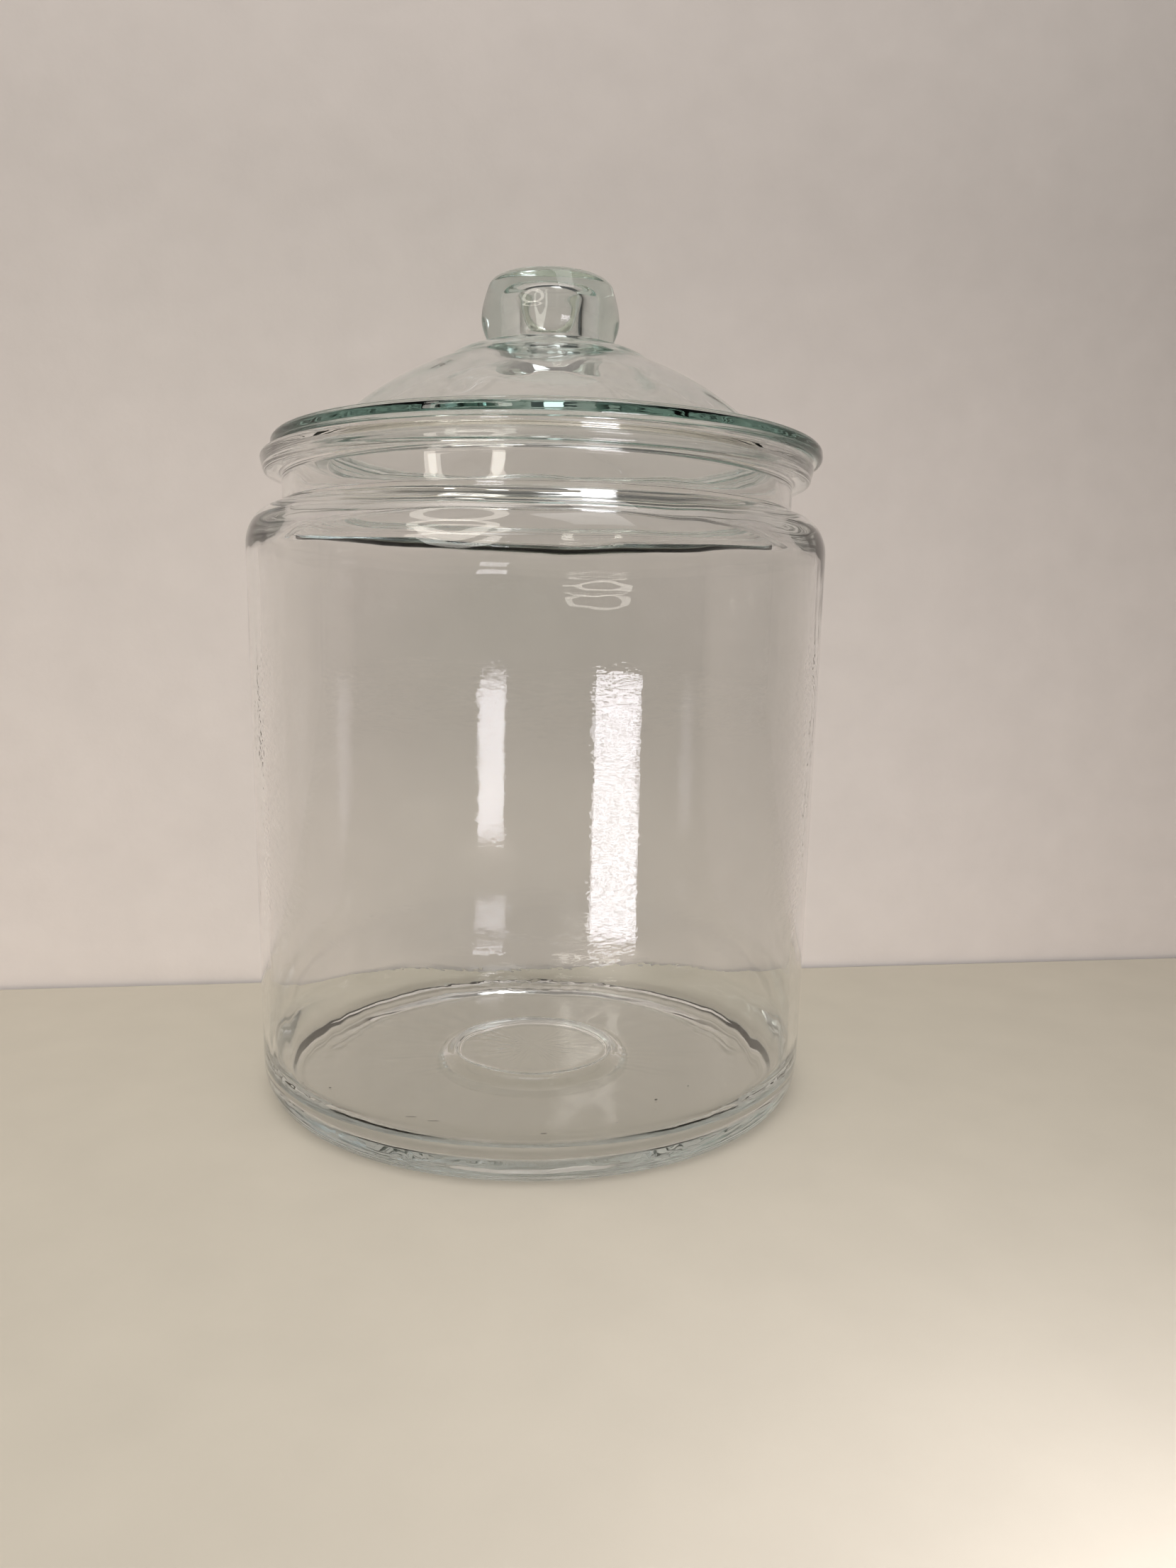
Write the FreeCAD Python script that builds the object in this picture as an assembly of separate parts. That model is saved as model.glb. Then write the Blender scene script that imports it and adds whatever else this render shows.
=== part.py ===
import FreeCAD, Part
import math
import os

# Clear glass storage jar with a domed glass lid that has a hollow knob.
# Millimetres, +Z up. The jar stands on z = 0 and its axis is the Z axis.
# Each piece is an outline in the XZ plane, turned once about its own axis.

# Jar, outside
body_radius = 115.0          # widest place, where the shoulder starts
body_taper = 2.6             # how much the wall draws in on its way down to the heel
body_height = 216.5          # from the table up to the start of the shoulder
heel_width = 7.5
heel_height = 13.5
foot_width = 8.0             # flat ring that bears on the table
foot_slope = 3.0
hollow_height = 0.9          # how far the underside stands clear inside the foot
shoulder_rise = 14.7
shoulder_width = 13.8        # from the widest place in to the neck
neck_height = 12.8           # from the shoulder up to the bead
neck_fillet = 2.2
bead_width = 8.0             # how far the bead stands out from the neck
bead_height = 7.6
bead_draft = 0.9             # the bead is this much narrower at its lower lip
bead_lip_corner = 1.7
bead_top_corner = 1.9

# Jar, inside
wall_top = 4.4               # glass just below the shoulder
wall_bottom = 2.9            # glass just above the heel
floor_thickness = 5.3
inner_heel_width = 14.5
inner_heel_height = 17.0
shoulder_wall = 5.8
shoulder_inner_drop = 11.5
shoulder_inner_corner = 4.6
neck_wall = 4.6
mouth_corner = 2.4

# Raised disc in the middle of the floor, pushed up from below
boss_radius = 33.0
boss_slope = 9.5
boss_rise = 2.8
boss_inset = 4.0             # the push-up is this much smaller on the underside

# Lid
lid_play = 4.4               # how far the lid can slide off centre in the mouth
lid_rest_gap = 0.8           # what is left of that play on the side it has slid to
flange_inset = 0.4           # the flange is this much smaller than the bead
flange_thickness = 5.9
flange_top_corner = 2.4
flange_lower_corner = 2.0
skirt_depth = 4.0            # locating ring that hangs inside the mouth
skirt_width = 6.0
skirt_corner = 1.5
dome_radius = 121.0          # of the sphere that the dome is part of
dome_foot_inset = 2.2        # from the locating ring's outer face in to where that sphere meets the flange
dome_fillet = 7.0
dome_wall = 5.2

# Hub, the low step round the knob
hub_radius = 41.5
hub_step = 0.8
hub_step_width = 3.5
hub_rise = 5.8               # from the hub's rim up to the root of the knob

# Knob
root_inset = 1.7             # the knob's root, waist and crest are this much smaller than its belly
waist_inset = 3.5
crest_inset = 2.6
waist_rise = 1.2
belly_radius = 27.5
belly_rise = 10.3            # from the waist up to the widest place
crest_rise = 11.6            # from the widest place up to the rounded top edge
crest_corner = 2.3
crown_rise = 0.9             # how much the top is domed
crown_wall = 5.6             # glass over the hollow
hollow_radius = 13.0
hollow_draft = 1.0           # wider at the bottom than at the top
hollow_corner = 5.0
hollow_depth = 17.1          # from the hollow's top down to its flare
flare_width = 28.0           # where the hollow opens into the dome

# Sizes that follow from those above. The lid's radii follow the jar's, so that it keeps its fit.
neck_radius = body_radius - shoulder_width
mouth_radius = neck_radius - neck_wall
bead_radius = neck_radius + bead_width
ring_radius = mouth_radius - lid_play        # outer face of the locating ring
flange_radius = bead_radius - flange_inset
dome_foot_radius = ring_radius - dome_foot_inset
root_radius = belly_radius - root_inset      # where the hub turns up into the knob
waist_radius = belly_radius - waist_inset
crest_radius = belly_radius - crest_inset
shoulder_top = body_height + shoulder_rise
bead_base = shoulder_top + neck_height
jar_height = bead_base + bead_height
lid_offset = lid_play - lid_rest_gap
flange_top = jar_height + flange_thickness
dome_centre = flange_top - math.sqrt(dome_radius**2 - dome_foot_radius**2)

round_share = 0.5523         # handle length that makes a Bezier corner a quarter of an ellipse


def point(radius, height):
    return FreeCAD.Vector(radius, 0, height)


def between(a, b, share):
    """The point that lies this share of the way from a to b."""
    return (a[0] + share * (b[0] - a[0]), a[1] + share * (b[1] - a[1]))


class Outline:
    """A pen that draws an outline in radius and height, from a point on the axis."""

    def __init__(self, radius, height):
        self.first = (radius, height)
        self.at = self.first
        self.edges = []

    def add(self, curve, end):
        self.edges.append(curve.toShape())
        self.at = end
        return self

    def line(self, radius, height):
        end = (radius, height)
        return self.add(Part.LineSegment(point(*self.at), point(*end)), end)

    def arc(self, through, end):
        return self.add(Part.Arc(point(*self.at), point(*through), point(*end)), end)

    def curve(self, handle_a, handle_b, end):
        bezier = Part.BezierCurve()
        bezier.setPoles([point(*p) for p in (self.at, handle_a, handle_b, end)])
        return self.add(bezier, end)

    def corner(self, radius, height, leaves):
        """Rounded right-angled corner that leaves "across" or "upright" and turns to the other."""
        end = (radius, height)
        sharp = (radius, self.at[1]) if leaves == "across" else (self.at[0], height)
        return self.curve(between(self.at, sharp, round_share), between(end, sharp, round_share), end)

    def ease(self, radius, height):
        """Gentle step that is level at both ends."""
        middle = (self.at[0] + radius) / 2
        return self.curve((middle, self.at[1]), (middle, height), (radius, height))

    def bend(self, end, leaving, arriving, pull):
        """Free curve that leaves and arrives in these directions. pull is its handles' length."""
        a = pull / math.hypot(*leaving)
        b = pull / math.hypot(*arriving)
        handle_a = (self.at[0] + a * leaving[0], self.at[1] + a * leaving[1])
        handle_b = (end[0] - b * arriving[0], end[1] - b * arriving[1])
        return self.curve(handle_a, handle_b, end)

    def turned(self):
        """The solid that the closed outline makes when it is turned about the Z axis."""
        self.line(*self.first)
        face = Part.Face(Part.Wire(self.edges))
        return face.revolve(FreeCAD.Vector(0, 0, 0), FreeCAD.Vector(0, 0, 1), 360)


def on_sphere(sphere_radius, radius):
    """Height of a sphere about the dome's centre, at this distance from the axis."""
    return dome_centre + math.sqrt(sphere_radius**2 - radius**2)


def sphere_arc(pen, sphere_radius, radius):
    """Draws along a sphere about the dome's centre, up or down to this distance from the axis."""
    half_way = (pen.at[0] + radius) / 2
    pen.arc((half_way, on_sphere(sphere_radius, half_way)), (radius, on_sphere(sphere_radius, radius)))


def draw_underside(pen):
    """From the axis, over the push-up, to the outer edge of the foot."""
    push_up = boss_radius - boss_inset
    foot_outer = body_radius - body_taper - heel_width
    foot_inner = foot_outer - foot_width
    pen.line(push_up, hollow_height + boss_rise)
    pen.ease(push_up + boss_slope, hollow_height)
    pen.line(foot_inner - foot_slope, hollow_height)
    pen.ease(foot_inner, 0)
    pen.line(foot_outer, 0)


def draw_outside(pen):
    """From the foot up the wall and over the shoulder to the root of the bead."""
    pen.corner(body_radius - body_taper, heel_height, "across")
    pen.line(body_radius, body_height)
    pen.corner(neck_radius + neck_fillet, shoulder_top, "upright")
    pen.corner(neck_radius, shoulder_top + neck_fillet, "across")
    pen.line(neck_radius, bead_base)


def draw_bead(pen):
    """Round the bead at the rim and down into the mouth."""
    lip_radius = bead_radius - bead_draft
    pen.line(lip_radius - bead_lip_corner, bead_base)
    pen.corner(lip_radius, bead_base + bead_lip_corner, "across")
    pen.line(bead_radius, jar_height - bead_top_corner)
    pen.corner(bead_radius - bead_top_corner, jar_height, "upright")
    pen.line(mouth_radius + mouth_corner, jar_height)
    pen.corner(mouth_radius, jar_height - mouth_corner, "across")


def draw_inside(pen):
    """From the mouth down the inner wall and across the floor to the axis."""
    inner_shoulder_top = shoulder_top - shoulder_wall
    inner_shoulder_radius = mouth_radius + shoulder_inner_corner
    floor_height = hollow_height + floor_thickness
    wall_foot_radius = body_radius - body_taper - wall_bottom
    pen.line(mouth_radius, inner_shoulder_top + shoulder_inner_corner)
    pen.corner(inner_shoulder_radius, inner_shoulder_top, "upright")
    pen.corner(body_radius - wall_top, inner_shoulder_top - shoulder_inner_drop, "across")
    pen.line(wall_foot_radius, floor_height + inner_heel_height)
    pen.corner(wall_foot_radius - inner_heel_width, floor_height, "upright")
    pen.line(boss_radius + boss_slope, floor_height)
    pen.ease(boss_radius, floor_height + boss_rise)
    pen.line(0, floor_height + boss_rise)


def make_jar():
    pen = Outline(0, hollow_height + boss_rise)
    draw_underside(pen)
    draw_outside(pen)
    draw_bead(pen)
    draw_inside(pen)
    return pen.turned()


def hub_rim_height():
    return on_sphere(dome_radius, hub_radius) + hub_step


def knob_heights():
    """Heights of the knob's waist, belly, crest and crown."""
    waist = hub_rim_height() + hub_rise + waist_rise
    belly = waist + belly_rise
    crest = belly + crest_rise
    return waist, belly, crest, crest + crest_corner + crown_rise


def draw_hollow(pen):
    """From the top of the knob's hollow down to where it opens into the dome."""
    inner_sphere = dome_radius - dome_wall
    hollow_top = pen.at[1]
    hollow_base = hollow_top - hollow_depth
    foot_radius = hollow_radius + hollow_draft
    mouth = foot_radius + flare_width
    slope = -mouth / math.sqrt(inner_sphere**2 - mouth**2)
    pen.line(hollow_radius - hollow_corner, hollow_top)
    pen.corner(hollow_radius, hollow_top - hollow_corner, "across")
    pen.line(foot_radius, hollow_base)
    pen.bend((mouth, on_sphere(inner_sphere, mouth)), (0, -1), (1, slope), flare_width / 4)


def draw_skirt(pen):
    """Down the dome's underside, round the locating ring and out to the flange's edge."""
    outer = ring_radius
    inner = outer - skirt_width
    base = jar_height - skirt_depth
    sphere_arc(pen, dome_radius - dome_wall, inner)
    pen.line(inner, base + skirt_corner)
    pen.corner(inner + skirt_corner, base, "upright")
    pen.line(outer - skirt_corner, base)
    pen.corner(outer, base + skirt_corner, "across")
    pen.line(outer, jar_height)
    pen.line(flange_radius - flange_lower_corner, jar_height)


def draw_flange_and_dome(pen):
    """Round the flange's edge and up the dome to the foot of the hub."""
    pen.corner(flange_radius, jar_height + flange_lower_corner, "across")
    pen.line(flange_radius, flange_top - flange_top_corner)
    pen.corner(flange_radius - flange_top_corner, flange_top, "upright")
    # The fillet touches the flange's top and the dome's sphere.
    reach = dome_radius + dome_fillet
    centre = (math.sqrt(reach**2 - (flange_top + dome_fillet - dome_centre) ** 2), flange_top + dome_fillet)
    touch = between((0, dome_centre), centre, dome_radius / reach)
    way = ((touch[0] + centre[0]) / 2 - centre[0], (touch[1] + flange_top) / 2 - centre[1])
    lowest = dome_fillet / math.hypot(*way)
    pen.line(centre[0], flange_top)
    pen.arc((centre[0] + lowest * way[0], centre[1] + lowest * way[1]), touch)
    sphere_arc(pen, dome_radius, hub_radius + hub_step_width)


def draw_hub(pen):
    """Up the step and over the hub to the root of the knob."""
    foot = pen.at[0]
    slope = foot / math.sqrt(dome_radius**2 - foot**2)
    rim = hub_rim_height()
    pen.bend((hub_radius, rim), (-1, slope), (-1, 2 * slope), hub_step_width / 3)
    pen.bend((root_radius, rim + hub_rise), (-1, 2 * slope), (-1, slope / 2), (hub_radius - root_radius) / 3)


def draw_knob(pen):
    """Up the knob's side from its root and over the top to the axis."""
    waist, belly, crest, crown = knob_heights()
    pen.bend((waist_radius, waist), (-1, 0.3), (0.5, 1), (root_radius - waist_radius) / 2)
    pen.bend((belly_radius, belly), (0.5, 1), (0, 1), belly_rise / 3)
    pen.bend((crest_radius, crest), (0, 1), (-0.35, 1), crest_rise / 3)
    top_edge = (crest_radius - crest_corner, crest + crest_corner)
    pen.bend(top_edge, (-0.35, 1), (-1, 0.06), crest_corner / 2)
    pen.bend((0, crown), (-1, 0.06), (-1, 0), crest_radius / 3)


def make_lid():
    crown = knob_heights()[3]
    pen = Outline(0, crown - crown_wall)
    draw_hollow(pen)
    draw_skirt(pen)
    draw_flange_and_dome(pen)
    draw_hub(pen)
    draw_knob(pen)
    lid = pen.turned()
    lid.translate(FreeCAD.Vector(lid_offset, 0, 0))
    return lid


os.makedirs("parts", exist_ok=True)
for name, shape in {"jar": make_jar(), "lid": make_lid()}.items():
    print(name, "valid" if shape.isValid() else "not valid", round(shape.Volume / 1000, 1), "cm3")
    shape.exportStep(f"parts/{name}.step")
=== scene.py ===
import math
import random
import bmesh
import bpy
from mathutils import Matrix, Vector


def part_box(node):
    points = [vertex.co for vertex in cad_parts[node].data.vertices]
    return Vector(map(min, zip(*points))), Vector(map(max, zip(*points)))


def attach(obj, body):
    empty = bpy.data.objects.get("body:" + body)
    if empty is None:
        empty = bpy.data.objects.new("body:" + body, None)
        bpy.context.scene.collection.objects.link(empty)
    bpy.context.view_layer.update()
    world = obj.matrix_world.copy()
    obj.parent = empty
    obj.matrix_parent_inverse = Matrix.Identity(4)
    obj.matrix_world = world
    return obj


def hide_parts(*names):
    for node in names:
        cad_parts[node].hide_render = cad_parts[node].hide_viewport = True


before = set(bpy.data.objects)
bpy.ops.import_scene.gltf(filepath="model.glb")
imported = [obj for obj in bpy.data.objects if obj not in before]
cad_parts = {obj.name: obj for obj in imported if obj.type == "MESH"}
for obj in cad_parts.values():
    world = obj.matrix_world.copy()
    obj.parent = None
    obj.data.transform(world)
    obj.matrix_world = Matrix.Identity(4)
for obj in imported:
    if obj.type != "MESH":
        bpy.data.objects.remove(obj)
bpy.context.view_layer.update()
jarLow, jarHigh = (Vector(c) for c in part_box("jar"))
lidLow, lidHigh = (Vector(c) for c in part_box("lid"))
scene = bpy.context.scene
mm = 0.001
hair = 0.06  # millimetres that the visual pieces stay inside the CAD box
seatGap = 0.12  # millimetres that the jar and the lid each keep from where they meet
quarterPull = 0.5523  # handle length that makes a curve a quarter circle
noiseSpread = 3.2  # brings noise round 0.5 to about -1 to 1


# ---- node helpers

def addNode(tree, kind, values=None, **settings):
    node = tree.nodes.new(kind)
    for name, value in settings.items():
        setattr(node, name, value)
    for socket, value in (values or {}).items():
        if isinstance(value, bpy.types.NodeSocket):
            tree.links.new(value, node.inputs[socket])
        else:
            node.inputs[socket].default_value = value
    return node


def calc(tree, operation, a, b=None, c=None):
    values = {i: v for i, v in enumerate((a, b, c)) if v is not None}
    return addNode(tree, "ShaderNodeMath", values, operation=operation).outputs[0]


def calcVector(tree, operation, a, b=None, scale=None):
    values = {0: a}
    if b is not None:
        values[1] = b
    if scale is not None:
        values["Scale"] = scale
    return addNode(tree, "ShaderNodeVectorMath", values, operation=operation).outputs[0]


def spanRamp(tree, value, span, start, end):
    return addNode(tree, "ShaderNodeMapRange", {0: value, 1: span[0], 2: span[1], 3: start, 4: end}).outputs[0]


def newMaterial(name):
    material = bpy.data.materials.new(name)
    material.use_nodes = True
    material.node_tree.nodes.clear()
    return material, material.node_tree


# ---- outlines, in millimetres of radius and height

class Outline:
    # Each point keeps how far the glass waves there, how far it is streaked, and which way its surface faces.
    def __init__(self, radius, height):
        self.points = [(radius, height, 0.0, 0.0)]
        self.wave = 0.0
        self.streak = 0.0

    @property
    def at(self):
        return self.points[-1][:2]

    def add(self, radius, height):
        self.points.append((radius, height, self.wave, self.streak))

    def line(self, radius, height, steps=1):
        (r, z) = self.at
        for i in range(1, steps + 1):
            t = i / steps
            self.add(r + (radius - r) * t, z + (height - z) * t)
        return self

    def curve(self, a, b, end, steps=10):
        start = self.at
        for i in range(1, steps + 1):
            t = i / steps
            weights = ((1 - t) ** 3, 3 * t * (1 - t) ** 2, 3 * t * t * (1 - t), t ** 3)
            self.add(*(sum(w * p[k] for w, p in zip(weights, (start, a, b, end))) for k in (0, 1)))
        return self

    def corner(self, radius, height, leaves, steps=10):
        (r, z) = self.at
        sharp = (radius, z) if leaves == "across" else (r, height)
        a = (r + quarterPull * (sharp[0] - r), z + quarterPull * (sharp[1] - z))
        b = (radius + quarterPull * (sharp[0] - radius), height + quarterPull * (sharp[1] - height))
        return self.curve(a, b, (radius, height), steps)

    def ease(self, radius, height, steps=10):
        (r, z) = self.at
        middle = (r + radius) / 2
        return self.curve((middle, z), (middle, height), (radius, height), steps)

    def bend(self, end, leaving, arriving, pull, steps=10):
        (r, z) = self.at
        a, b = pull / math.hypot(*leaving), pull / math.hypot(*arriving)
        return self.curve(
            (r + a * leaving[0], z + a * leaving[1]), (end[0] - b * arriving[0], end[1] - b * arriving[1]), end, steps
        )

    def alongSphere(self, centre, radius, end, steps):
        start = self.at[0]
        for i in range(1, steps + 1):
            r = start + (end - start) * i / steps
            self.add(r, centre + math.sqrt(radius**2 - r**2))
        return self

    def chain(self, name):
        # The outline as a chain of edges, with what each point keeps as attributes.
        flat = [p for i, p in enumerate(self.points) if i == 0 or math.dist(p[:2], self.points[i - 1][:2]) > 1e-5]
        mesh = bpy.data.meshes.new(name)
        mesh.from_pydata([(p[0] * mm, 0, p[1] * mm) for p in flat], [(i, i + 1) for i in range(len(flat) - 1)], [])
        leans = []
        for i in range(len(flat)):
            before, after = flat[max(i - 1, 0)], flat[min(i + 1, len(flat) - 1)]
            along = Vector((after[0] - before[0], 0, after[1] - before[1])).normalized()
            leans.append(Vector((along.z, 0, -along.x)))
        mesh.attributes.new("wave", "FLOAT", "POINT").data.foreach_set("value", [p[2] * mm for p in flat])
        mesh.attributes.new("streak", "FLOAT", "POINT").data.foreach_set("value", [p[3] * mm for p in flat])
        mesh.attributes.new("lean", "FLOAT_VECTOR", "POINT").data.foreach_set("vector", [x for v in leans for x in v])
        return mesh


# ---- the turning tree: one outline, turned about an upright axis and waved as blown and pressed glass is

def turningTree():
    tree = bpy.data.node_groups.new("turnedGlass", "GeometryNodeTree")
    face = tree.interface
    face.new_socket("Geometry", in_out="INPUT", socket_type="NodeSocketGeometry")
    for name, kind in (
        ("Segments", "NodeSocketInt"), ("Axis", "NodeSocketVector"), ("Wave Length", "NodeSocketFloat"),
        ("Streak Width", "NodeSocketFloat"), ("Streak Length", "NodeSocketFloat"), ("Reach", "NodeSocketFloat"),
        ("Seed", "NodeSocketFloat"), ("Material", "NodeSocketMaterial"),
    ):
        face.new_socket(name, in_out="INPUT", socket_type=kind)
    face.new_socket("Geometry", in_out="OUTPUT", socket_type="NodeSocketGeometry")
    given = tree.nodes.new("NodeGroupInput").outputs

    size = addNode(tree, "GeometryNodeAttributeDomainSize", {0: given["Geometry"]}, component="MESH")
    count = size.outputs["Point Count"]
    rows = calc(tree, "ADD", given["Segments"], 1.0)
    grid = addNode(tree, "GeometryNodeMeshGrid", {
        "Size X": 1.0, "Size Y": 1.0, "Vertices X": count, "Vertices Y": rows,
    })
    place = addNode(tree, "ShaderNodeSeparateXYZ", {0: addNode(tree, "GeometryNodeInputPosition").outputs[0]})
    last = calc(tree, "SUBTRACT", count, 1.0)
    index = calc(tree, "ROUND", calc(tree, "MULTIPLY", calc(tree, "ADD", place.outputs["X"], 0.5), last))
    angle = calc(tree, "MULTIPLY", calc(tree, "ADD", place.outputs["Y"], 0.5), 2 * math.pi)

    def sample(kind, value):
        node = addNode(tree, "GeometryNodeSampleIndex", data_type=kind, domain="POINT")
        tree.links.new(given["Geometry"], node.inputs[0])
        tree.links.new(value, node.inputs[1])
        tree.links.new(index, node.inputs["Index"])
        return node.outputs[0]

    def named(kind, name):
        node = addNode(tree, "GeometryNodeInputNamedAttribute", data_type=kind)
        node.inputs["Name"].default_value = name
        return node.outputs[0]

    position = addNode(tree, "GeometryNodeInputPosition").outputs[0]
    point = addNode(tree, "ShaderNodeSeparateXYZ", {0: sample("FLOAT_VECTOR", position)})
    lean = addNode(tree, "ShaderNodeSeparateXYZ", {0: sample("FLOAT_VECTOR", named("FLOAT_VECTOR", "lean"))})
    wave, streak = sample("FLOAT", named("FLOAT", "wave")), sample("FLOAT", named("FLOAT", "streak"))
    cosine, sine = calc(tree, "COSINE", angle), calc(tree, "SINE", angle)

    def turned(radius, height):
        return addNode(tree, "ShaderNodeCombineXYZ", {
            "X": calc(tree, "MULTIPLY", radius, cosine), "Y": calc(tree, "MULTIPLY", radius, sine), "Z": height,
        }).outputs[0]

    radius, height = point.outputs["X"], point.outputs["Z"]
    where = turned(radius, height)
    # Slow waves follow the place, and streaks run up the wall and out across the floor.
    slow = addNode(tree, "ShaderNodeTexNoise", {
        "Vector": where, "W": given["Seed"], "Scale": calc(tree, "DIVIDE", 1.0, given["Wave Length"]), "Detail": 1.0,
    }, noise_dimensions="4D").outputs[0]
    along = calc(tree, "DIVIDE", calc(tree, "ADD", radius, height), given["Streak Length"])
    turnsFine = calc(tree, "DIVIDE", given["Reach"], given["Streak Width"])
    lines = addNode(tree, "ShaderNodeTexNoise", {
        "Vector": turned(turnsFine, along), "W": given["Seed"], "Scale": 1.0, "Detail": 2.0,
    }, noise_dimensions="4D").outputs[0]
    push = calc(tree, "ADD",
        calc(tree, "MULTIPLY", wave, calc(tree, "MULTIPLY", calc(tree, "SUBTRACT", slow, 0.5), noiseSpread)),
        calc(tree, "MULTIPLY", streak, calc(tree, "MULTIPLY", calc(tree, "SUBTRACT", lines, 0.5), noiseSpread)))
    facing = turned(lean.outputs["X"], lean.outputs["Z"])
    onAxis = calcVector(tree, "ADD", where, given["Axis"])
    moved = calcVector(tree, "ADD", onAxis, calcVector(tree, "SCALE", facing, scale=push))
    placed = addNode(tree, "GeometryNodeSetPosition", {"Geometry": grid.outputs["Mesh"], "Position": moved})
    joined = addNode(tree, "GeometryNodeMergeByDistance", {"Geometry": placed.outputs[0], "Distance": 2e-6})
    smooth = addNode(tree, "GeometryNodeSetShadeSmooth", {"Geometry": joined.outputs[0]})
    real = addNode(tree, "GeometryNodeRealizeInstances", {"Geometry": smooth.outputs[0]})
    dressed = addNode(tree, "GeometryNodeSetMaterial", {"Geometry": real.outputs[0], "Material": given["Material"]})
    tree.links.new(dressed.outputs[0], tree.nodes.new("NodeGroupOutput").inputs[0])
    return tree


turning = turningTree()


def turnPiece(name, outline, material, inputs):
    source = bpy.data.objects.new(name + "Outline", outline.chain(name + "Outline"))
    scene.collection.objects.link(source)
    modifier = source.modifiers.new("turned", "NODES")
    modifier.node_group = turning
    for item in turning.interface.items_tree:
        if item.in_out == "INPUT" and item.name in inputs:
            modifier[item.identifier] = inputs[item.name]
        if item.in_out == "INPUT" and item.name == "Material":
            modifier[item.identifier] = material
    shown = source.evaluated_get(bpy.context.evaluated_depsgraph_get())
    mesh = bpy.data.meshes.new_from_object(shown)
    bpy.data.objects.remove(source)
    shape = bmesh.new()
    shape.from_mesh(mesh)
    bmesh.ops.dissolve_degenerate(shape, dist=1e-7, edges=shape.edges)
    if shape.calc_volume(signed=True) < 0:
        bmesh.ops.reverse_faces(shape, faces=shape.faces)
    shape.to_mesh(mesh)
    openEdges = sum(1 for e in shape.edges if not e.is_manifold)
    shape.free()
    for attribute in [a.name for a in mesh.attributes if a.name in ("wave", "streak", "lean", "UVMap")]:
        mesh.attributes.remove(mesh.attributes[attribute])
    piece = bpy.data.objects.new(name, mesh)
    scene.collection.objects.link(piece)
    print(name, "triangles", sum(len(p.vertices) - 2 for p in mesh.polygons), "open edges", openEdges)
    return piece


# ---- glass

rippleStretch = (0.6, 0.6, 1.4)  # the ripples lie more level than upright
rippleFade = 0.02
baseSpan = (0.006, 0.014)  # heights over which the base's shade ends
heelSpan = (0.097, 0.105)  # radii over which the heel's shade starts


def glassMaterial(name, finish):
    material, tree = newMaterial(name)
    body = addNode(tree, "ShaderNodeBsdfPrincipled", {
        "Base Color": (1, 1, 1, 1), "Roughness": finish["roughness"], "IOR": 1.5, "Transmission Weight": 1.0,
    })
    where = addNode(tree, "ShaderNodeTexCoord").outputs["Object"]
    fine = addNode(tree, "ShaderNodeTexNoise", {
        "Vector": calcVector(tree, "MULTIPLY", where, rippleStretch), "Scale": finish["rippleScale"], "Detail": 1.0,
    }).outputs[0]
    broad = addNode(tree, "ShaderNodeTexNoise", {
        "Vector": where, "Scale": finish["waveScale"], "Detail": 2.0,
    }).outputs[0]
    spot = addNode(tree, "ShaderNodeSeparateXYZ", {0: where}).outputs
    squares = [calc(tree, "MULTIPLY", spot[k], spot[k]) for k in ("X", "Y")]
    reach = calc(tree, "SQRT", calc(tree, "ADD", *squares))
    # The straight part of the wall is rippled, its outer face less than its inner one.
    inside = calc(tree, "LESS_THAN", reach, finish["rippleReach"])
    share = calc(tree, "MULTIPLY_ADD", inside, 1 - finish["rippleOuter"], finish["rippleOuter"])
    low, high = finish["rippleSpan"]
    rising = spanRamp(tree, spot["Z"], (low, low + rippleFade), 0.0, 1.0)
    falling = spanRamp(tree, spot["Z"], (high - rippleFade, high), 1.0, 0.0)
    fine = calc(tree, "MULTIPLY", fine, calc(tree, "MULTIPLY", share, calc(tree, "MINIMUM", rising, falling)))
    rippled = addNode(tree, "ShaderNodeBump", {"Height": fine, "Strength": 1.0, "Distance": finish["rippleHeight"]})
    waved = addNode(tree, "ShaderNodeBump", {
        "Height": broad, "Strength": 1.0, "Distance": finish["waveHeight"], "Normal": rippled.outputs[0],
    })
    tree.links.new(waved.outputs[0], body.inputs["Normal"])
    # Light passes to what is behind, as it does through a thin clear wall.
    rays = addNode(tree, "ShaderNodeLightPath").outputs
    path = calc(tree, "MAXIMUM", rays["Is Shadow Ray"], rays["Is Diffuse Ray"])
    # Less of it gets through the base, and least at the heel.
    thick = spanRamp(tree, spot["Z"], baseSpan, 1.0, 0.0)
    thick = calc(tree, "MULTIPLY", thick, spanRamp(tree, reach, heelSpan, *finish["baseShade"]))
    clear = addNode(tree, "ShaderNodeBsdfTransparent", {
        0: calcVector(tree, "SCALE", finish["shadow"][:3], scale=calc(tree, "SUBTRACT", 1.0, thick)),
    })
    mixed = addNode(tree, "ShaderNodeMixShader", {0: path, 1: body.outputs[0], 2: clear.outputs[0]})
    tint = addNode(tree, "ShaderNodeVolumeAbsorption", {"Color": finish["tint"], "Density": finish["density"]})
    out = addNode(tree, "ShaderNodeOutputMaterial")
    tree.links.new(mixed.outputs[0], out.inputs["Surface"])
    tree.links.new(tint.outputs[0], out.inputs["Volume"])
    return material


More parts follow.
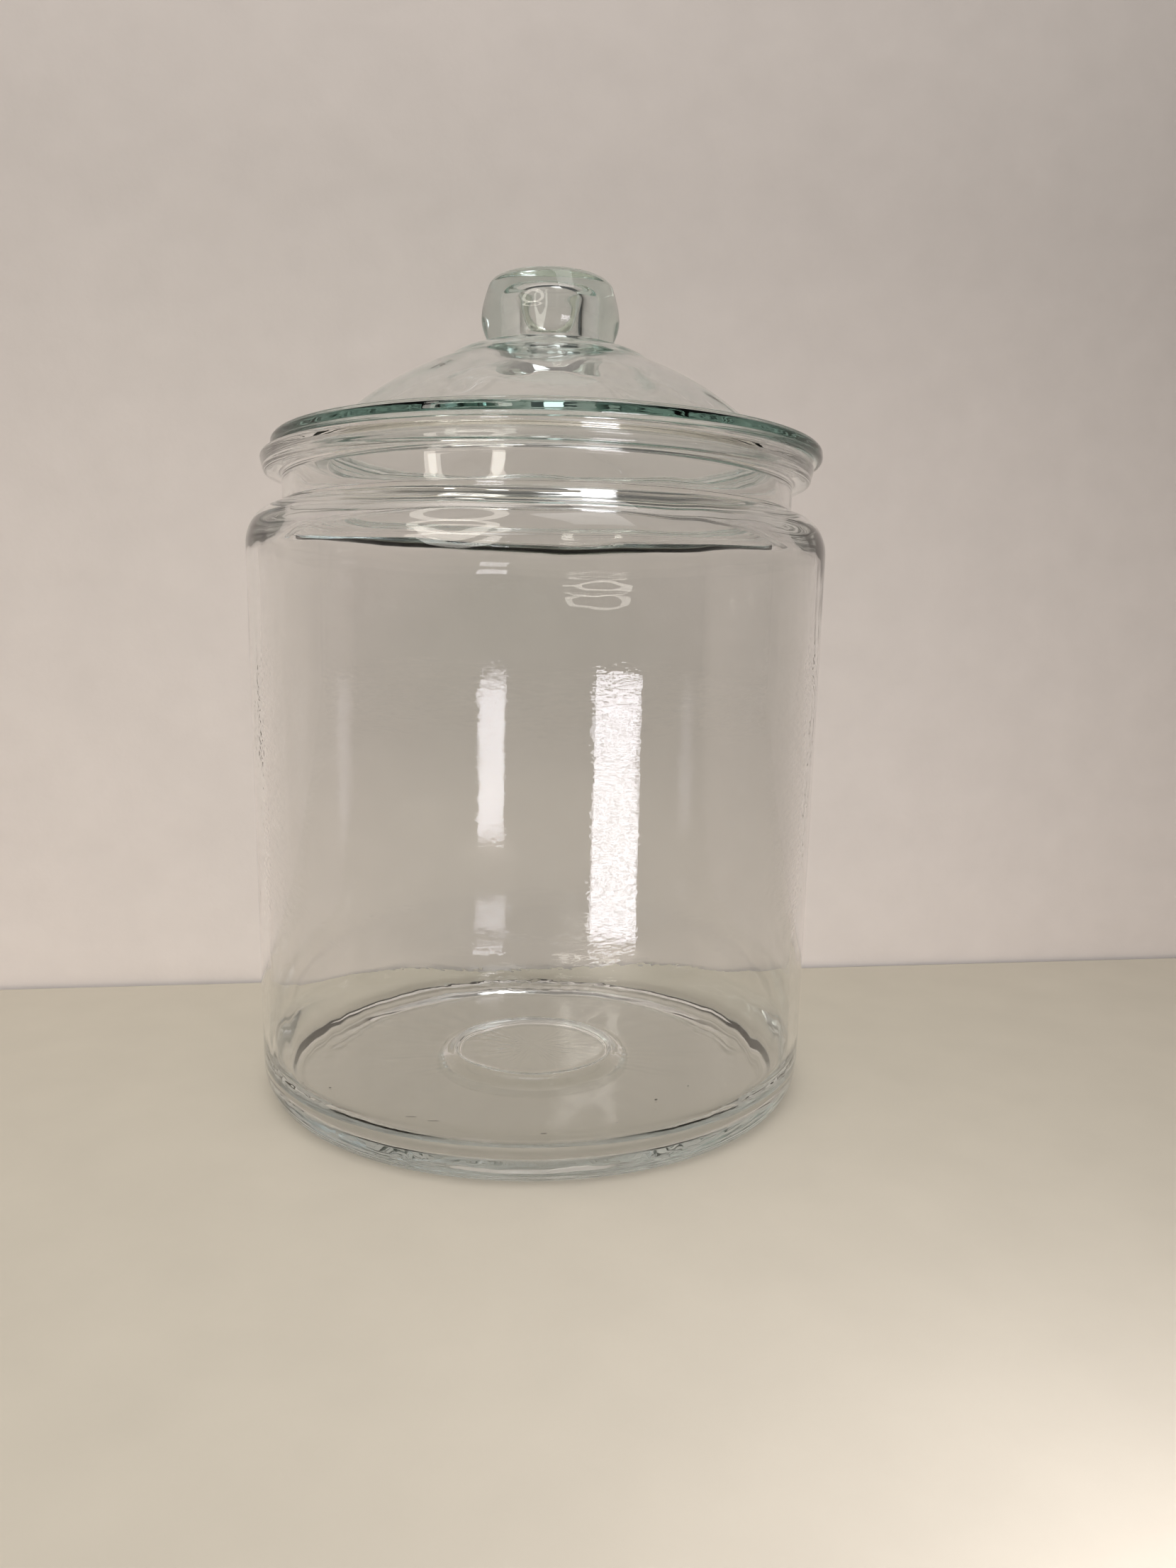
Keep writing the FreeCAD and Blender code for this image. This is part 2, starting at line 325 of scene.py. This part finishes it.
jarGlass = glassMaterial("jarGlass", {
    "roughness": 0.0, "rippleScale": 480.0, "rippleHeight": 4.5e-5, "rippleReach": 0.1112,
    "waveScale": 45.0, "waveHeight": 4e-5,
    "rippleSpan": (0.066, 0.19), "rippleOuter": 0.35, "baseShade": (0.20, 0.34),
    "shadow": (0.988, 0.99, 0.988, 1), "tint": (0.38, 0.50, 0.47, 1), "density": 3.2,
})
lidGlass = glassMaterial("lidGlass", {
    "roughness": 0.0, "rippleScale": 300.0, "rippleHeight": 3e-6, "rippleReach": 1.0,
    "waveScale": 40.0, "waveHeight": 4e-5,
    "rippleSpan": (0.0, 1.0), "rippleOuter": 1.0, "baseShade": (0.0, 0.0),
    "shadow": (0.98, 0.985, 0.98, 1), "tint": (0.22, 0.50, 0.44, 1), "density": 8.0,
})


# ---- jar

jar = {
    "radius": jarHigh.x / mm - hair, "top": jarHigh.z / mm - seatGap,
    "taper": 2.6, "heelWidth": 7.5, "heelHeight": 13.5, "footWidth": 8.0, "footSlope": 20.0, "hollow": 0.9,
    "shoulderRise": 14.7, "shoulderWidth": 13.8, "neckHeight": 12.8, "neckFillet": 2.2,
    "beadWidth": 8.0, "beadHeight": 7.6, "beadDraft": 0.9, "lipCorner": 1.7, "topCorner": 1.9, "rimCrown": 0.25,
    "wallTop": 4.4, "wallBottom": 2.9, "floor": 5.3, "innerHeel": (14.5, 17.0), "shoulderWall": 5.8,
    "shoulderDrop": 11.5, "innerCorner": 4.6, "neckWall": 4.6, "mouthCorner": 2.4,
    "bossRadius": 33.0, "bossSlope": 9.5, "bossRise": 2.8, "bossInset": 4.0, "ridge": (0.45, 0.9),
}


def jarOutline(s):
    top = s["top"]
    beadBase = jarHigh.z / mm - s["beadHeight"]
    shoulderTop = beadBase - s["neckHeight"]
    bodyTop = shoulderTop - s["shoulderRise"]
    neck = s["radius"] - s["shoulderWidth"]
    mouth = neck - s["neckWall"]
    bead = neck + s["beadWidth"]
    foot = s["radius"] - s["taper"] - s["heelWidth"]
    pushUp = s["bossRadius"] - s["bossInset"]
    floorHeight = s["hollow"] + s["floor"]

    pen = Outline(0, s["hollow"] + s["bossRise"])
    pen.line(6, s["hollow"] + s["bossRise"], 2)
    pen.streak = 0.05
    pen.line(pushUp, s["hollow"] + s["bossRise"], 6)
    pen.ease(pushUp + s["bossSlope"], s["hollow"], 10)
    pen.wave, pen.streak = 0.08, 0.05
    pen.line(foot - s["footWidth"] - s["footSlope"], s["hollow"], 14)
    pen.wave, pen.streak = 0.0, 0.0
    pen.ease(foot - s["footWidth"], 0.02, 5)
    pen.line(foot, 0.02, 3)
    # The outer wall hardly waves, so that its outline stays true.
    pen.corner(s["radius"] - s["taper"], s["heelHeight"], "across", 14)
    pen.line(s["radius"], bodyTop, 40)
    pen.corner(neck + s["neckFillet"], shoulderTop, "upright", 14)
    pen.corner(neck, shoulderTop + s["neckFillet"], "across", 7)
    pen.line(neck, beadBase, 5)
    lip = bead - s["beadDraft"]
    pen.line(lip - s["lipCorner"], beadBase, 4)
    pen.corner(lip, beadBase + s["lipCorner"], "across", 7)
    pen.line(bead, top - s["topCorner"] - s["rimCrown"], 4)
    pen.corner(bead - s["topCorner"], top - s["rimCrown"], "upright", 7)
    middle = (bead - s["topCorner"] + mouth + s["mouthCorner"]) / 2
    pen.ease(middle, top, 5)
    pen.ease(mouth + s["mouthCorner"], top - s["rimCrown"], 5)
    pen.corner(mouth, top - s["rimCrown"] - s["mouthCorner"], "across", 7)
    innerTop = shoulderTop - s["shoulderWall"]
    pen.wave, pen.streak = 0.15, 0.03
    pen.line(mouth, innerTop + s["innerCorner"] + 6, 4)
    pen.wave, pen.streak = 0.30, 0.04
    pen.line(mouth, innerTop + s["innerCorner"], 3)
    pen.corner(mouth + s["innerCorner"], innerTop, "upright", 9)
    pen.wave, pen.streak = 0.26, 0.06
    pen.corner(s["radius"] - s["wallTop"], innerTop - s["shoulderDrop"], "across", 12)
    wallFoot = s["radius"] - s["taper"] - s["wallBottom"]
    start = pen.at
    for i in range(1, 61):
        t = i / 60
        pen.wave = 0.08 + 0.18 * max(0, 1 - t * 12)
        pen.streak = 0.08
        pen.add(start[0] + (wallFoot - start[0]) * t, start[1] + (floorHeight + s["innerHeel"][1] - start[1]) * t)
    pen.wave, pen.streak = 0.10, 0.07
    pen.corner(wallFoot - s["innerHeel"][0], floorHeight, "upright", 14)
    pen.wave, pen.streak = 0.08, 0.07
    pen.line(s["bossRadius"] + s["bossSlope"], floorHeight, 14)
    pen.wave, pen.streak = 0.03, 0.03
    pen.ease(s["bossRadius"] + s["ridge"][1], floorHeight + s["bossRise"], 10)
    pen.wave, pen.streak = 0.0, 0.02
    pen.ease(s["bossRadius"] + s["ridge"][1] / 2, floorHeight + s["bossRise"] + s["ridge"][0], 4)
    pen.ease(s["bossRadius"], floorHeight + s["bossRise"], 4)
    pen.streak = 0.05
    pen.line(6, floorHeight + s["bossRise"] + 0.3, 8)
    pen.streak = 0.0
    pen.line(0, floorHeight + s["bossRise"] + 0.35, 2)
    return pen


jarPiece = turnPiece("jarBody", jarOutline(jar), jarGlass, {
    "Segments": 320, "Axis": (0.0, 0.0, 0.0), "Wave Length": 0.030, "Streak Width": 0.011, "Streak Length": 0.09,
    "Reach": 0.10, "Seed": 3.0,
})
print("jar turned")


# ---- lid

lid = {
    "axis": (lidLow.x + lidHigh.x) / 2, "flange": (lidHigh.y - lidLow.y) / 2 / mm - hair,
    "base": lidLow.z / mm, "rest": jarHigh.z / mm + seatGap, "crown": lidHigh.z / mm - hair,
    "ring": 16.6, "ringWidth": 6.0, "ringCorner": 1.5, "thickness": 5.9, "topCorner": 2.4, "lowerCorner": 2.0,
    "sphere": 121.0, "sphereFoot": 18.8, "fillet": 7.0, "wall": 5.2,
    "hub": 41.5, "hubStep": 0.8, "hubStepWidth": 3.5, "hubRise": 5.8,
    "root": 25.8, "waist": (24.0, 1.2), "belly": (27.5, 10.3), "crest": (24.9, 11.6), "crestCorner": 2.3,
    "crownWall": 5.6, "hollow": 13.0, "draft": 1.0, "hollowCorner": 5.0, "depth": 17.1, "flare": 28.0,
}


def lidOutline(s):
    flangeTop = jarHigh.z / mm + s["thickness"]
    ring = s["flange"] - s["ring"] + hair
    centre = flangeTop - math.sqrt(s["sphere"] ** 2 - (s["flange"] - s["sphereFoot"]) ** 2)
    inner = s["sphere"] - s["wall"]
    hollowTop = s["crown"] - s["crownWall"]
    mouth = s["hollow"] + s["draft"] + s["flare"]

    pen = Outline(0, hollowTop)
    pen.wave = 0.12
    pen.line(s["hollow"] - s["hollowCorner"], hollowTop - 0.15, 3)
    pen.wave = 0.35
    pen.corner(s["hollow"], hollowTop - s["hollowCorner"], "across", 12)
    pen.line(s["hollow"] + s["draft"], hollowTop - s["depth"], 5)
    drop = math.sqrt(inner**2 - mouth**2)
    pen.bend((mouth, centre + drop), (0, -1), (1, -mouth / drop), s["flare"] / 4, 14)
    pen.wave, pen.streak = 0.22, 0.05
    pen.alongSphere(centre, inner, ring - s["ringWidth"], 30)
    pen.wave, pen.streak = 0.05, 0.0
    pen.line(ring - s["ringWidth"], s["base"] + s["ringCorner"], 2)
    pen.corner(ring - s["ringWidth"] + s["ringCorner"], s["base"], "upright", 7)
    pen.line(ring - s["ringCorner"], s["base"], 2)
    pen.corner(ring, s["base"] + s["ringCorner"], "across", 7)
    pen.line(ring, s["rest"] - 0.6, 2)
    pen.corner(ring + 0.6, s["rest"], "upright", 4)
    pen.wave = 0.0
    pen.line(s["flange"] - s["lowerCorner"], s["rest"], 10)
    pen.corner(s["flange"], s["rest"] + s["lowerCorner"], "across", 8)
    pen.line(s["flange"], flangeTop - s["topCorner"], 3)
    pen.corner(s["flange"] - s["topCorner"], flangeTop, "upright", 8)
    reach = s["sphere"] + s["fillet"]
    bowl = (math.sqrt(reach**2 - (flangeTop + s["fillet"] - centre) ** 2), flangeTop + s["fillet"])
    touch = (bowl[0] * s["sphere"] / reach, centre + (bowl[1] - centre) * s["sphere"] / reach)
    pen.wave = 0.03
    pen.line(bowl[0], flangeTop, 3)
    turn = math.atan2(touch[0] - bowl[0], bowl[1] - touch[1])
    for i in range(1, 9):
        a = turn * i / 8
        pen.add(bowl[0] + s["fillet"] * math.sin(a), bowl[1] - s["fillet"] * math.cos(a))
    pen.wave, pen.streak = 0.06, 0.03
    pen.alongSphere(centre, s["sphere"], s["hub"] + s["hubStepWidth"], 26)
    foot = pen.at[0]
    slope = foot / math.sqrt(s["sphere"] ** 2 - foot**2)
    rim = centre + math.sqrt(s["sphere"] ** 2 - s["hub"] ** 2) + s["hubStep"]
    pen.bend((s["hub"], rim), (-1, slope), (-1, 2 * slope), s["hubStepWidth"] / 3, 6)
    pen.bend((s["root"], rim + s["hubRise"]), (-1, 2 * slope), (-1, slope / 2), (s["hub"] - s["root"]) / 3, 12)
    waist = rim + s["hubRise"] + s["waist"][1]
    belly = waist + s["belly"][1]
    crest = belly + s["crest"][1]
    pen.wave, pen.streak = 0.08, 0.0
    pen.bend((s["waist"][0], waist), (-1, 0.3), (0.5, 1), (s["root"] - s["waist"][0]) / 2, 8)
    pen.bend((s["belly"][0], belly), (0.5, 1), (0, 1), s["belly"][1] / 3, 12)
    pen.bend((s["crest"][0], crest), (0, 1), (-0.35, 1), s["crest"][1] / 3, 12)
    pen.wave = 0.0
    brow = (s["crest"][0] - s["crestCorner"], crest + s["crestCorner"])
    pen.bend(brow, (-0.35, 1), (-1, 0.06), s["crestCorner"] / 2, 9)
    pen.bend((0, s["crown"]), (-1, 0.06), (-1, 0), s["crest"][0] / 3, 12)
    return pen


lidPiece = turnPiece("lidDome", lidOutline(lid), lidGlass, {
    "Segments": 300, "Axis": (lid["axis"], 0.0, 0.0), "Wave Length": 0.024, "Streak Width": 0.012,
    "Streak Length": 0.05, "Reach": 0.07, "Seed": 8.0,
})
print("lid turned")

for piece, node, slot in ((jarPiece, "jar", "jar_glass"), (lidPiece, "lid", "lid_glass")):
    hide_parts(node)
    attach(piece, "root")


# ---- specks of dirt on the jar's floor

specks = {
    "places": [  # across, deep, length, width, turn
        (47.5, -53.2, 1.5, 1.0, 40), (4.0, -89.4, 2.6, 0.9, 5), (-79.5, -42.5, 1.6, 0.8, 20),
        (-90.0, -45.4, 1.2, 0.8, 70), (-44.8, -71.3, 4.6, 0.5, 12), (-36.0, -75.0, 5.0, 0.4, 8),
        (30.8, -77.8, 0.9, 0.6, 60), (62.0, -40.0, 0.8, 0.5, 15),
    ],
    "height": 0.35,
}


def speckMaterial():
    material, tree = newMaterial("speckDirt")
    where = addNode(tree, "ShaderNodeTexCoord").outputs["Object"]
    grains = addNode(tree, "ShaderNodeTexNoise", {"Vector": where, "Scale": 2500.0, "Detail": 3.0}).outputs[0]
    ramp = addNode(tree, "ShaderNodeValToRGB", {0: grains})
    ramp.color_ramp.elements[0].color = (0.035, 0.03, 0.025, 1)
    ramp.color_ramp.elements[1].color = (0.14, 0.12, 0.10, 1)
    bump = addNode(tree, "ShaderNodeBump", {"Height": grains, "Strength": 0.6, "Distance": 1e-4})
    body = addNode(tree, "ShaderNodeBsdfPrincipled", {
        "Base Color": ramp.outputs[0], "Roughness": 0.85, "Normal": bump.outputs[0],
    })
    out = addNode(tree, "ShaderNodeOutputMaterial")
    tree.links.new(body.outputs[0], out.inputs["Surface"])
    return material


def scatterSpecks(s):
    dice = random.Random(5)
    floorHeight = jar["hollow"] + jar["floor"]
    shape = bmesh.new()
    for across, deep, length, width, turn in s["places"]:
        reach = math.hypot(across, deep)
        rise = 0.0
        heelStart = jar["radius"] - jar["taper"] - jar["wallBottom"] - jar["innerHeel"][0]
        if reach > heelStart:
            share = (reach - heelStart) / jar["innerHeel"][0]
            rise = jar["innerHeel"][1] * (1 - math.sqrt(max(0, 1 - share**2)))
        made = bmesh.ops.create_icosphere(shape, subdivisions=2, radius=1.0)["verts"]
        spin = Matrix.Rotation(math.radians(turn), 3, "Z")
        for v in made:
            v.co *= 1 + 0.35 * (dice.random() - 0.5)
            v.co = spin @ Vector((v.co.x * length / 2, v.co.y * width / 2, v.co.z * s["height"] / 2))
            v.co = (v.co + Vector((across, deep, floorHeight + rise + s["height"] / 2 + 0.25))) * mm
    mesh = bpy.data.meshes.new("specks")
    shape.to_mesh(mesh)
    shape.free()
    piece = bpy.data.objects.new("specks", mesh)
    scene.collection.objects.link(piece)
    mesh.materials.append(speckMaterial())
    return piece


specksPiece = scatterSpecks(specks)
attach(specksPiece, "root")
print("specks laid")


# ---- floor and wall

stage = {
    "cloth": (0.58, 0.535, 0.455), "wall": (0.655, 0.602, 0.575), "wallDeep": 0.124, "wallTurn": 5.5,
    # The next pair is painted light: the wall's colour scale at the floor and from 0.4 m up.
    "wallPaintedLight": (1.36, 0.85), "gap": 0.0025,
}


def plainMaterial(name, colour, grain, depth, paintedLightHeight=None, seeThrough=False):
    material, tree = newMaterial(name)
    where = addNode(tree, "ShaderNodeTexCoord").outputs["Object"]
    noise = addNode(tree, "ShaderNodeTexNoise", {"Vector": where, "Scale": grain, "Detail": 4.0}).outputs[0]
    shade = calc(tree, "MULTIPLY_ADD", noise, 0.10, 0.95)
    if paintedLightHeight:
        # Painted light: the colour is painted lighter near the floor and darker from the given height up, standing in
        # for light that falls from low down.
        height = addNode(tree, "ShaderNodeSeparateXYZ", {0: where}).outputs["Z"]
        shade = calc(tree, "MULTIPLY", shade, spanRamp(tree, height, (0.0, paintedLightHeight), *stage["wallPaintedLight"]))
    tone = calcVector(tree, "SCALE", colour, scale=shade)
    bump = addNode(tree, "ShaderNodeBump", {"Height": noise, "Strength": 1.0, "Distance": depth})
    body = addNode(tree, "ShaderNodeBsdfDiffuse", {"Color": tone, "Normal": bump.outputs[0]})
    surface = body.outputs[0]
    if seeThrough:
        behind = addNode(tree, "ShaderNodeNewGeometry").outputs["Backfacing"]
        clear = addNode(tree, "ShaderNodeBsdfTransparent")
        surface = addNode(tree, "ShaderNodeMixShader", {0: behind, 1: surface, 2: clear.outputs[0]}).outputs[0]
    out = addNode(tree, "ShaderNodeOutputMaterial")
    tree.links.new(surface, out.inputs["Surface"])
    return material


def sheet(name, corners, material):
    mesh = bpy.data.meshes.new(name)
    mesh.from_pydata(corners, [], [tuple(range(len(corners)))])
    mesh.materials.append(material)
    piece = bpy.data.objects.new(name, mesh)
    scene.collection.objects.link(piece)
    return piece


turn = math.radians(stage["wallTurn"])
along = Vector((math.cos(turn), math.sin(turn), 0))
middle = Vector((0, stage["wallDeep"], 0))
wide = 3.0
cloth = plainMaterial("floorPaint", stage["cloth"], 30.0, 2e-4)
ends = (middle - along * wide, middle + along * wide)
before, under = Vector((0, -stage["gap"], 0)), Vector((0, 0, -0.03))
sheet("floor", [(-wide, -wide, 0), (wide, -wide, 0), ends[1] + before, ends[0] + before], cloth)
sheet("floorBehind", [ends[0], ends[1], (wide, wide, 0), (-wide, wide, 0)], cloth)
lowered = Vector((0, 0.05, 0.02))
sheet("floorUnder", [ends[0] - lowered, ends[1] - lowered, ends[1] + under, ends[0] + under], cloth)
# The wall gets painted light: its colour is lighter low down and darker from 0.4 m up.
sheet("wall", [ends[0] + under, ends[1] + under,
               middle + along * wide + Vector((0, 0, 2.5)), middle - along * wide + Vector((0, 0, 2.5))],
      plainMaterial("wallPaint", stage["wall"], 45.0, 6e-4, 0.4, True))


# ---- light

world = bpy.data.worlds.new("room")
scene.world = world
world.use_nodes = True
tree = world.node_tree
direction = addNode(tree, "ShaderNodeTexCoord").outputs["Generated"]
upward = addNode(tree, "ShaderNodeSeparateXYZ", {0: direction}).outputs["Z"]
sky = addNode(tree, "ShaderNodeValToRGB", {0: upward})
sky.color_ramp.elements[0].color = (0.03, 0.03, 0.03, 1)
sky.color_ramp.elements[1].color = (0.11, 0.108, 0.105, 1)
tree.links.new(sky.outputs[0], tree.nodes["Background"].inputs["Color"])


def lamp(name, place, aim, size, power, colour, ring=None, slats=None):
    data = bpy.data.lights.new(name, "AREA")
    data.shape = "ELLIPSE" if ring else "RECTANGLE"
    data.size, data.size_y = size
    data.energy = power
    data.color = colour
    if ring or slats:
        data.use_nodes = True
        tree = data.node_tree
        flat = addNode(tree, "ShaderNodeNewGeometry").outputs["Parametric"]
    if ring:
        # A ring: dark inside this share of its radius.
        reach = addNode(tree, "ShaderNodeVectorMath", {0: flat, 1: (0.5, 0.5, 0.0)}, operation="DISTANCE")
        lit = calc(tree, "GREATER_THAN", reach.outputs["Value"], ring / 2)
        tree.links.new(lit, tree.nodes["Emission"].inputs["Strength"])
    if slats:
        # Level slats with dimmer gaps, which show in reflections and not straight through the glass.
        rows = calc(tree, "MULTIPLY", addNode(tree, "ShaderNodeSeparateXYZ", {0: flat}).outputs["Y"], slats)
        bars = calc(tree, "MULTIPLY_ADD", calc(tree, "GREATER_THAN", calc(tree, "FRACT", rows), 0.45), 1.2, 0.35)
        rays = addNode(tree, "ShaderNodeLightPath").outputs
        refracted = calc(tree, "GREATER_THAN", rays["Transmission Depth"], 0.5)
        straight = calc(tree, "MULTIPLY", refracted, calc(tree, "LESS_THAN", rays["Glossy Depth"], 0.5))
        lit = calc(tree, "MULTIPLY", bars, calc(tree, "SUBTRACT", 1.0, straight))
        tree.links.new(lit, tree.nodes["Emission"].inputs["Strength"])
    piece = bpy.data.objects.new(name, data)
    piece.location = place
    piece.rotation_euler = (Vector(aim) - Vector(place)).to_track_quat("-Z", "Y").to_euler()
    piece.visible_camera = False
    scene.collection.objects.link(piece)
    return piece


def around(azimuth, elevation, distance, target=(0, 0, 0.2)):
    a, e = math.radians(azimuth), math.radians(elevation)
    return Vector(target) + distance * Vector((math.sin(a) * math.cos(e), -math.cos(a) * math.cos(e), math.sin(e)))


softLamp = lamp("softLamp", (-0.1, -0.42, 1.15), (0, 0.05, 0.05), (0.9, 0.7), 7.0, (1.0, 0.985, 0.96))
softLamp.visible_glossy = False
softLamp.visible_transmission = False
lamp("highPanel", (0.23, -0.40, 1.05), (0, 0, 0.2), (0.34, 0.5), 1.2, (1.0, 0.985, 0.97))
for name, elevation, tall, power in (("ringLow", 12, 0.28, 2.6), ("ringHigh", 30, 0.50, 4.0)):
    lamp(name, around(-30, elevation, 1.05), (0, 0, 0.2), (0.62, tall), power, (1.0, 0.95, 0.86), ring=0.7)
lamp("lowPanel", (0.163, -0.345, 0.080), (0.026, -0.112, 0.10), (0.10, 0.155), 0.40, (0.98, 0.95, 1.0), slats=44)
print("stage and light set")


# ---- camera

camera = {"place": (0, -0.455, 0.1838), "yaw": -2.74, "pitch": 7.67, "roll": 1.0, "lens": 24.966}


def setCamera(s):
    data = bpy.data.cameras.new("camera")
    data.lens = s["lens"]
    data.sensor_width = 36.0
    data.clip_start = 0.01
    piece = bpy.data.objects.new("camera", data)
    scene.collection.objects.link(piece)
    yaw, pitch, roll = (math.radians(s[k]) for k in ("yaw", "pitch", "roll"))
    ahead = Vector((-math.sin(yaw) * math.cos(pitch), math.cos(yaw) * math.cos(pitch), -math.sin(pitch)))
    right = Vector((math.cos(yaw), math.sin(yaw), 0))
    up = right.cross(ahead)
    tiltedRight = math.cos(roll) * right + math.sin(roll) * up
    tiltedUp = -math.sin(roll) * right + math.cos(roll) * up
    turned = Matrix((tiltedRight, tiltedUp, -ahead)).transposed().to_4x4()
    piece.matrix_world = Matrix.Translation(s["place"]) @ turned
    scene.camera = piece


setCamera(camera)
scene.view_settings.view_transform = "Standard"
scene.cycles.max_bounces = 32
scene.cycles.transmission_bounces = 32
scene.cycles.glossy_bounces = 24
scene.cycles.diffuse_bounces = 4
scene.cycles.transparent_max_bounces = 32
